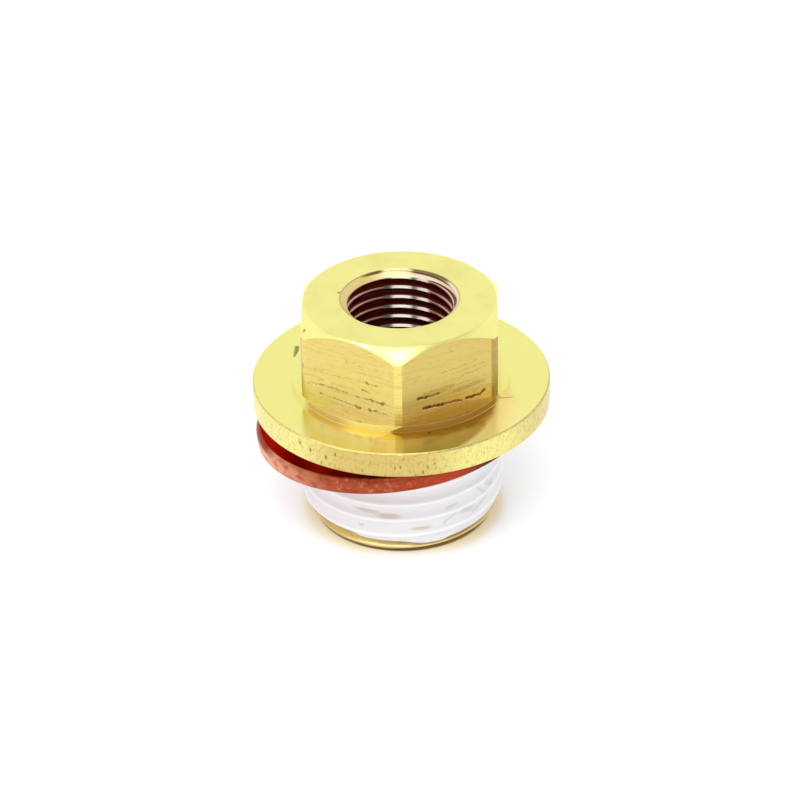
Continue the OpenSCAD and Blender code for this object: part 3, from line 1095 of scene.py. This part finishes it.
def makeWasher(size, male):
    inner = male["radius"] + size["play"] / 2
    outer = inner + size["width"]
    half = size["thickness"] / 2
    corner = size["corner"]
    worn = size["worn"]  # the upper outer corner is rounded off
    parts = size["cornerParts"]
    outline = (arcPoints(inner + corner, -half + corner, corner, 180, 270, parts)
               + arcPoints(outer - corner, -half + corner, corner, 270, 360, parts)
               + arcPoints(outer - worn, half - worn, worn, 0, 90, size["wornParts"])
               + arcPoints(inner + corner, half - corner, corner, 90, 180, parts))
    bm = turnOutline(outline, size["steps"], closed=True)
    # the upper face and the lower outer corner take the painted shade
    for face in bm.faces:
        centre = face.calc_center_median()
        onTop = centre.z > half - size["upperSkin"]
        atFoot = centre.z < size["lowerSkin"] - half and centre.xy.length > outer - corner
        face.material_index = int(onTop or atFoot)
    tilt = math.radians(size["tilt"])
    off = polar(size["play"] * size["slip"], size["offDirection"], 0.0)
    off.z = plug["underside"] - size["seat"] - half * math.cos(tilt) - outer * math.sin(tilt)
    lean = Matrix.Translation(off) @ Matrix.Rotation(math.radians(size["high"]), 4, "Z") @ Matrix.Rotation(
        -tilt, 4, "Y")
    bmesh.ops.transform(bm, matrix=lean, verts=bm.verts)
    piece = toPiece(bm, "stamped_copper_washer", [makeCopper(size, lean), makeShadedCopper(size)])
    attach(piece, "root")
    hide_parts("copper_washer")
    return lean


washerLean = makeWasher(washer, maleThread)


# The tape: film wound over the thread, pulled in between its crests
tape = {
    "fit": 0.03,
    "thickness": 0.42,
    "sag": 0.26,
    "ply": 0.12,
    "edgeHeight": 0.5,
    "underWasher": 0.05,
    "columns": 360,
    "rows": 84,
    "innerRows": 8,
    "film": paint(250, 250, 252),
    "valleyShade": paint(234, 232, 234),
    # painted shade close under the washer
    "washerShadeTint": paint(226, 202, 198),
    # painted shade in the creases
    "crease": paint(206, 204, 190),
    "tan": paint(206, 188, 160),
    "grey": paint(206, 206, 204),
    "sagPower": 1.1,
    "foldDepth": 0.072,
    "foldSharpness": 3.0,
    "foldTurn": 66.0,
    "foldReach": 34.0,
    "foldFoot": 2.2,
    "foldRise": 1.5,
    "foldWidth": 7.0,
    "foldLean": 1.1,
    "foldRate": 0.9,
    "foldDrift": 40.0,
    "valleyShadePhase": (0.02, 0.16),
    "washerShadeReach": (0.3, 1.5, 1.0, 0.0),
    "washerShadeStrength": 0.75,
    "creaseShadeStrength": 0.5,
    "creaseDepth": 0.06,
    "patchStrength": 0.75,
}
# The lower edge: degrees from the front, and height
tapeEdge = [(-90, 1.05), (-66, 1.6), (-48, 1.64), (-34, 1.66), (-24, 1.45), (-3, 1.42), (13, 1.1), (21, 1.06),
            (29, 1.26), (44, 1.4), (75, 1.62), (112, 1.1), (150, 1.5), (196, 1.15), (232, 1.45), (270, 1.05)]
# Creases on the right: degrees from the front and height of each end, and width
tapeCreases = [(44.9, 2.83, 57.4, 3.28, 0.5), (24.2, 2.82, 31.5, 3.37, 0.36), (32.9, 3.8, 44.9, 2.95, 0.5),
               (57.5, 4.69, 65.2, 5.34, 0.5), (15.1, 3.9, 19.3, 3.9, 0.24), (25.6, 4.21, 32.2, 4.33, 0.3),
               (48.5, 4.9, 56.3, 3.9, 0.4), (9.0, 1.88, 21.0, 1.84, 0.2)]
# Tan patches where the film is pressed thin over the brass, and grey patches: degrees from the front, height,
# half width in degrees and in height, and whether tan or grey
tapePatches = [(-22, 4.25, 11, 0.28, "tan"), (-9, 4.0, 10, 0.32, "tan"), (10, 2.68, 9, 0.2, "tan"),
               (40, 3.3, 9, 0.4, "grey"), (-26, 2.7, 3, 0.2, "grey"), (62, 4.4, 6, 0.3, "grey")]


# The washer's underside: its middle and the way that the washer faces
washerFoot = washerLean @ (-up * washer["thickness"] / 2)
washerUp = washerLean.to_3x3() @ up


def washerUnder(radius, degrees):
    # the height of the washer's underside over a point of the tape
    away = polar(radius, degrees, 0.0) - washerFoot
    return washerFoot.z - away.xy.dot(washerUp.xy) / washerUp.z


def tapeFoot(degrees):
    # the lower edge runs smoothly from each of its points to the next
    turn = (degrees - front + 90) % 360 - 90
    for (first, low), (second, high) in zip(tapeEdge, tapeEdge[1:]):
        if first <= turn <= second:
            share = (1 - math.cos(math.pi * (turn - first) / (second - first))) / 2
            return low + (high - low) * share
    return tapeEdge[0][1]


def tapeHead(degrees, inner):
    outer = inner + tape["thickness"]
    return min(washerUnder(inner, degrees), washerUnder(outer, degrees)) - tape["underWasher"]


def tapeWall(degrees, height, foot, male):
    crest = male["crestAtFront"] + male["pitch"] * (degrees - front) / 360
    sag = tape["sag"] * abs(math.sin(math.pi * (height - crest) / male["pitch"])) ** tape["sagPower"]
    share = min(1.0, (height - foot) / tape["edgeHeight"])
    full = tape["thickness"] - sag + tapeFold(degrees, height)
    return tape["ply"] + (full - tape["ply"]) * math.sin(math.pi / 2 * share)


def tapeFold(degrees, height):
    # the film is creased on the right, where the wrap ends
    turn = degrees - front
    beside = max(0.0, 1 - abs(turn - tape["foldTurn"]) / tape["foldReach"])
    above = min(1.0, max(0.0, (height - tape["foldFoot"]) / tape["foldRise"]))
    crease = noise.noise(Vector((turn / tape["foldWidth"] - height * tape["foldLean"],
                                 height * tape["foldRate"] + turn / tape["foldDrift"], 0.0)))
    return tape["foldDepth"] * beside * above * (1 - abs(crease) * tape["foldSharpness"])


def makeTapeFilm(size, male):
    material, tree, shader, place = startMaterial("thread_tape_film", metallic=0.0, roughness=0.34)
    where = whereIs(tree, place)
    climb = calc(tree, "DIVIDE", where["Angle"], 360.0)
    rise = calc(tree, "DIVIDE", calc(tree, "SUBTRACT", where["Height"], male["crestAtFront"]), male["pitch"])
    phase = calc(tree, "PINGPONG", calc(tree, "SUBTRACT", rise, climb), 0.5)
    # painted shade with a copper tint on the film close under the washer
    washerShade = smoothStep(tree, heightOver(tree, place, washerFoot, -washerUp), *size["washerShadeReach"])
    onFilm = male["radius"] + size["fit"] + size["thickness"] / 2
    creases = addStrokes(tree, inMillimetres(tree, place), [
        (polar(onFilm, front + turn, low), polar(onFilm, front + end, high), width)
        for turn, low, end, high, width in tapeCreases])
    colour = layColours(tree, size["film"], [
        # painted shade in the valleys between the crests, which stay white as crest lines
        (smoothStep(tree, phase, *size["valleyShadePhase"]), size["valleyShade"]),
        (washerShade, size["washerShadeTint"], size["washerShadeStrength"]),
        # painted shade along the creases, which are also bumped
        (creases, size["crease"], size["creaseShadeStrength"])])
    for turn, middle, wide, high, tone in tapePatches:
        mask = useGroup(tree, patch, {"Angle": where["Angle"], "Height": where["Height"], "Turn": turn,
                                      "Middle": middle, "Wide": wide, "High": high})["Mask"]
        colour = layColours(tree, colour, [(mask, size[tone], size["patchStrength"])])
    setInputs(shader, {"Base Color": colour})
    addBump(tree, shader, calc(tree, "SUBTRACT", 1.0, creases), size["creaseDepth"], strength=0.7)
    return material


def makeTape(size, male):
    # a plain sleeve is turned first, of height 0 to 1 with its outside at 2 and its inside at 1, and then
    # each point finds its place
    inner = male["radius"] + size["fit"]
    rows, innerRows = size["rows"], size["innerRows"]
    outline = ([(2.0, i / rows) for i in range(rows + 1)]
               + [(1.0, 1 - i / innerRows) for i in range(innerRows + 1)])
    bm = turnOutline(outline, size["columns"], closed=True)
    for vert in bm.verts:
        degrees = math.degrees(math.atan2(vert.co.y, vert.co.x))
        outside = vert.co.xy.length > 1.5
        foot = tapeFoot(degrees)
        height = foot + (tapeHead(degrees, inner) - foot) * vert.co.z
        wall = tapeWall(degrees, height, foot, male) if outside else 0.0
        vert.co = polar(inner + wall, degrees, height)
    piece = toPiece(bm, "wound_thread_tape", [makeTapeFilm(size, male)], weighted=False)
    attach(piece, "root")
    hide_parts("thread_tape")
    return piece


makeTape(tape, maleThread)


# The stage: a white floor that keeps the shadow, with painted glow and shadow by the plug, and plain studio
# light
stage = {
    "floorSize": 3.0,
    "floor": (0.9, 0.9, 0.9, 1.0),
    "floorRing": (0.885, 0.915, 0.94, 1.0),
    # painted reflected light on the left, painted tinted shadow on the right, and painted contact shadow
    # under the edge
    "floorReflectedGlow": paint(240, 234, 200),
    "floorShadowRight": paint(230, 219, 182),
    "floorContactShadowAndReflection": paint(186, 154, 96),
    "floorLift": 0.16,
    "floorGap": 0.02,
    "sky": 1.0,
    "dim": 0.52,
    "dimFrom": (0.4, -0.75, 0.524),
    "dimRange": (0.8, 0.92),
    "ceiling": 0.6,
    "ceilingRange": (0.6, 0.72),
    "ceilingBack": (0.2, 0.45),
    "glowRadius": (7.9, 9.1, 1.0, 0.0),
    "glowFront": (-24.0, 24.0, 14.0),
    "glowFrontShare": 0.3,
    "glowTurn": (20.0, 60.0),
    "ringRadius": (10.0, 17.0, 1.0, 0.0),
    "contactRadius": (7.4, 7.6, 1.0, 0.0),
    "lampDistance": 0.45,
    "lamps": {
        "front_lamp": {"size": (0.21, 0.12), "radiance": 6.0, "toward": (0.0, -0.463, 0.886)},
        "left_lamp": {"size": (0.14, 0.14), "radiance": 5.0, "toward": (-0.52, -0.28, 0.8)},
    },
}


def makeFloor(size):
    bm = bmesh.new()
    bmesh.ops.create_grid(bm, x_segments=1, y_segments=1, size=size["floorSize"])
    mesh = bpy.data.meshes.new("floor")
    bm.to_mesh(mesh)
    bm.free()
    floor = bpy.data.objects.new("floor", mesh)
    floor.location.z = -size["floorGap"] * mm
    bpy.context.scene.collection.objects.link(floor)
    material, tree, shader, place = startMaterial("white_floor", metallic=0.0, roughness=0.9)
    where = whereIs(tree, place)
    angle, radius = where["Angle"], where["Radius"]
    facing = within(tree, angle, *size["glowFront"])
    glow = blendColour(tree, smoothStep(tree, angle, *size["glowTurn"]), size["floorReflectedGlow"],
                       size["floorShadowRight"])
    contact = smoothStep(tree, radius, *size["contactRadius"])
    colour = layColours(tree, size["floor"], [
        # a faintly bluish ring that offsets the brass's bounced light
        (smoothStep(tree, radius, *size["ringRadius"]), size["floorRing"]),
        # painted reflected light of the brass on the left and a painted tinted shadow on the right
        (smoothStep(tree, radius, *size["glowRadius"]), glow,
         between(tree, facing, 1.0, size["glowFrontShare"])),
        # painted contact shadow and reflection under the plug's edge
        (contact, size["floorContactShadowAndReflection"])])
    path = addNode(tree, "ShaderNodeLightPath", {}).outputs
    seen = strongest(tree, [path["Is Camera Ray"], path["Is Glossy Ray"], path["Is Transmission Ray"]])
    lift = multiply(tree, seen, calc(tree, "SUBTRACT", 1.0, contact), size["floorLift"])
    setInputs(shader, {"Base Color": colour, "Specular IOR Level": 0.0, "Emission Color": white,
                       "Emission Strength": lift})
    mesh.materials.append(material)


def makeWorld(size):
    world = bpy.data.worlds.new("studio")
    bpy.context.scene.world = world
    world.use_nodes = True
    tree = world.node_tree
    toward = addNode(tree, "ShaderNodeTexCoord", {}).outputs["Generated"]
    aside = vectorCalc(tree, "DOT_PRODUCT", toward, Vector(size["dimFrom"]).normalized(), output="Value")
    parts = addNode(tree, "ShaderNodeSeparateXYZ", {0: toward}).outputs
    ceiling = multiply(tree, smoothStep(tree, parts[2], *size["ceilingRange"]),
                       smoothStep(tree, parts[1], *size["ceilingBack"], 1.0, 0.0))
    level = multiply(tree, smoothStep(tree, aside, *size["dimRange"], size["sky"], size["dim"]),
                     between(tree, ceiling, 1.0, size["ceiling"]))
    # the brass mirrors a studio with a dimmer ceiling and corner, and what is dull gets even light
    path = addNode(tree, "ShaderNodeLightPath", {}).outputs
    strength = addNode(tree, "ShaderNodeMix", {0: path["Is Glossy Ray"], 2: size["sky"], 3: level},
                       data_type="FLOAT").outputs[0]
    setInputs(tree.nodes["Background"], {"Color": white, "Strength": strength})


def makeLamp(name, lamp, distance):
    data = bpy.data.lights.new(name, "AREA")
    data.shape = "RECTANGLE"
    data.size, data.size_y = lamp["size"]
    data.energy = lamp["radiance"] * math.pi * lamp["size"][0] * lamp["size"][1]
    piece = bpy.data.objects.new(name, data)
    bpy.context.scene.collection.objects.link(piece)
    toward = Vector(lamp["toward"]).normalized()
    aim = toward.to_track_quat("Z", "Y").to_matrix().to_4x4()
    piece.matrix_world = Matrix.Translation(toward * distance) @ aim
    piece.visible_camera = False


makeFloor(stage)
makeWorld(stage)
for lampName, lampSize in stage["lamps"].items():
    makeLamp(lampName, lampSize, stage["lampDistance"])
bpy.context.scene.view_settings.view_transform = "Standard"
print("stage and lamps placed")
